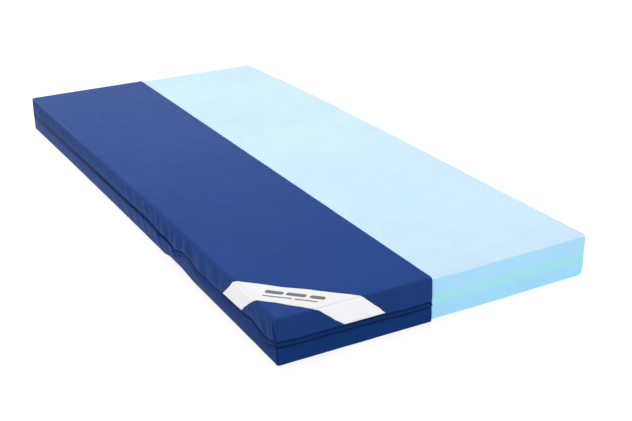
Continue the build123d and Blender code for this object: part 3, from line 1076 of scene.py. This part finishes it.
STITCH_PITCH = 3.6 * MM
STITCH_LENGTH = 2.7 * MM
STITCH_RADIUS = 0.34 * MM
STITCH_DIP = 0.3 * MM
STITCH_SHAPE = [(-1.0, 0.25), (-0.6, 0.9), (0.0, 1.0), (0.6, 0.9), (1.0, 0.25)]  # place, girth
STITCH_SIDES = 6
SEAM_RADIUS = 1.1 * MM
SEAM_SIDES = 8


def stitches(name, node, seats, directions, normals, material, slot):
    """A row of lockstitches: short plump threads that dip in at both ends."""
    points, faces = [], []
    for seat, along, up in zip(seats, directions, normals):
        along, up = Vector(along).normalized(), Vector(up)
        side = along.cross(up).normalized()
        first = len(points)
        for place, girth in STITCH_SHAPE:
            centre = Vector(seat) + along * (place * STITCH_LENGTH / 2) - up * (place ** 2 * STITCH_DIP)
            points += ring(centre, side, up, STITCH_RADIUS * girth, STITCH_SIDES)
        faces += tube_faces(len(STITCH_SHAPE), STITCH_SIDES, first)
    piece = closed_piece(name, points, faces, material)
    take_place(piece, node)


def row_on(skin, z, keep=lambda p: True):
    """Where the stitches of a row at that height sit on a skin, and how they lie."""
    path, _ = round_path(STITCH_PITCH)
    points = np.c_[path[:, 0], path[:, 1], np.full(len(path), z)]
    points = drape(points, level_out(path))
    seats, normals = laid_on(skin, points, STITCH_RADIUS * 0.55)
    directions = np.gradient(seats, axis=0)
    chosen = [i for i in range(1, len(path) - 1) if keep(seats[i])]
    return seats[chosen], directions[chosen], normals[chosen]


flap_row_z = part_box("flap_stitching")[0].z
tape_row_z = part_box("tape_stitching")[0].z


def in_band(p, spare):
    return abs(sum(p) - middle_sum) < half_band + spare


stitches("flap_seam_stitches", "flap_stitching",
         *row_on(cover_skin, flap_row_z, lambda p: not in_band(p, 2 * MM)), BLUE_THREAD, "blue_thread")
stitches("tape_seam_stitches", "tape_stitching",
         *row_on(lower_skin, tape_row_z), BLUE_THREAD, "blue_thread")
stitches("band_seam_stitches", "band_stitching",
         *row_on(band_skin, LEFT_END_Z + 3 * MM,
                 lambda p: in_band(p, -3 * MM) and p[2] < TOP / 2 + 0.02),
         WHITE_THREAD, "white_thread")


def seam_allowance(node):
    """The fabric edges of a corner seam, turned flat inside the end wall."""
    low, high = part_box(node)
    rows = spaced(low.z, high.z, 4 * MM)
    section = [(0.0, 0.0), (0.3, 0.12), (0.7, -0.05), (1.0, 0.08),
               (1.0, 0.92), (0.7, 0.78), (0.3, 0.95), (0.0, 0.85)]
    points = [(low.x + (high.x - low.x + 0.6 * MM * math.sin(i * 1.3)) * u,
               low.y + (high.y - low.y) * v, z) for i, z in enumerate(rows) for u, v in section]
    piece = closed_piece(node + "_fold", points, tube_faces(len(rows), len(section)), INSIDE_BLUE)
    take_place(piece, node)


def seam_line(name, end_y, inwards):
    """A dark tube down in the fold where a long wall and an end wall of the cover meet: painted shade.
    """
    heights = np.linspace(flap_high.z + 3 * MM, TOP - 11 * MM, 30)
    points, directions = [], []
    for z in heights:
        lean = ramp(z, SEAM_LEAN_FROM, TOP)
        points.append((LEFT, end_y + inwards * SEAM_LEAN * lean, z))
        directions.append(Vector((-1, -inwards * (1 - 0.6 * lean), 0)).normalized())
    line = dropped_on(cover_skin, points, directions, SEAM_RADIUS * 0.25)
    rings = []
    for i, (spot, away) in enumerate(zip(line, directions)):
        side = Vector((0, 0, 1)).cross(away)
        girth = SEAM_RADIUS * min(1, 0.25 + 0.25 * min(i, len(line) - 1 - i))
        rings += ring(Vector(spot), away, side, girth, SEAM_SIDES)
    piece = closed_piece(name, rings, tube_faces(len(line), SEAM_SIDES), SEAM_SHADE_THREAD)
    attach(piece, "cover")


seam_line("corner_seam_line_near", NEAR, 1)
seam_line("corner_seam_line_far", FAR, -1)

for half in ("top", "bottom"):
    for end in ("near", "far"):
        seam_allowance(f"corner_seam_{half}_{end}")

# ---- Floor, light and camera ----

IMAGE_WIDTH = 632
FOCAL_LENGTH = 1111.2     # in the same unit as the image's width
CAMERA_PLACE = (-1.4069, -2.9818, 1.2985)
CAMERA_TURNS = ((-28.195, "Z"), (67.382, "X"), (-1.139, "Z"))


def place_camera():
    data = bpy.data.cameras.new("camera")
    data.lens = FOCAL_LENGTH * data.sensor_width / IMAGE_WIDTH
    data.clip_end = 100
    camera = bpy.data.objects.new("camera", data)
    camera.matrix_world = Matrix.Translation(CAMERA_PLACE)
    for degrees, axis in CAMERA_TURNS:
        camera.matrix_world @= Matrix.Rotation(math.radians(degrees), 4, axis)
    link(camera)
    bpy.context.scene.camera = camera


def area_light(name, place, target, size, power):
    data = bpy.data.lights.new(name, "AREA")
    data.shape = "RECTANGLE"
    data.size, data.size_y = size
    data.energy = power
    lamp = bpy.data.objects.new(name, data)
    lamp.location = place
    lamp.rotation_euler = (Vector(target) - Vector(place)).to_track_quat("-Z", "Y").to_euler()
    link(lamp)
    return lamp


def flag_off_foam(lamp):
    """Keep a light on the cover alone, as a studio flag would: the bare foam is pale enough."""
    lit = bpy.data.collections.new("lit_from_" + lamp.name)
    for piece in bpy.context.scene.objects:
        if piece.type == "MESH" and not piece.name.startswith(("foam", "floor")):
            lit.objects.link(piece)
    lamp.light_linking.receiver_collection = lit


def floor():
    look = Look("pale_floor", (0.22, 0.22, 0.223), 0.9, 0.1)
    look.shader.inputs["Emission Strength"].default_value = 0.82
    look.shader.inputs["Emission Color"].default_value = (1, 1, 1, 1)
    look.tint(look.both(look.noise(3.0, 2.0), 0.1), (0.21, 0.21, 0.213))
    piece = new_piece("floor", [(-30, -30, 0), (30, -30, 0), (30, 30, 0), (-30, 30, 0)], [(0, 1, 2, 3)],
                      look.material)
    piece.location.z = -0.3 * MM


def world():
    studio = bpy.context.scene.world = bpy.data.worlds.new("studio")
    studio.use_nodes = True
    background = studio.node_tree.nodes["Background"].inputs
    background["Color"].default_value = (1, 1, 1, 1)
    background["Strength"].default_value = 0.74


place_camera()
floor()
world()
area_light("overhead", (0.5, 0.3, 3.2), (0, 0, 0), (3.5, 3.5), 96)
flag_off_foam(area_light("behind", (0.0, 4.8, 1.5), (0, 0, 0), (6.0, 1.4), 58))
area_light("far_left", (-2.6, 2.4, 1.5), (-0.3, -0.2, 0), (1.2, 1.2), 40)
area_light("near_right", (2.4, -3.6, 1.4), (0.3, -1.0, 0), (1.8, 1.8), 25)
bpy.context.scene.view_settings.view_transform = "Standard"
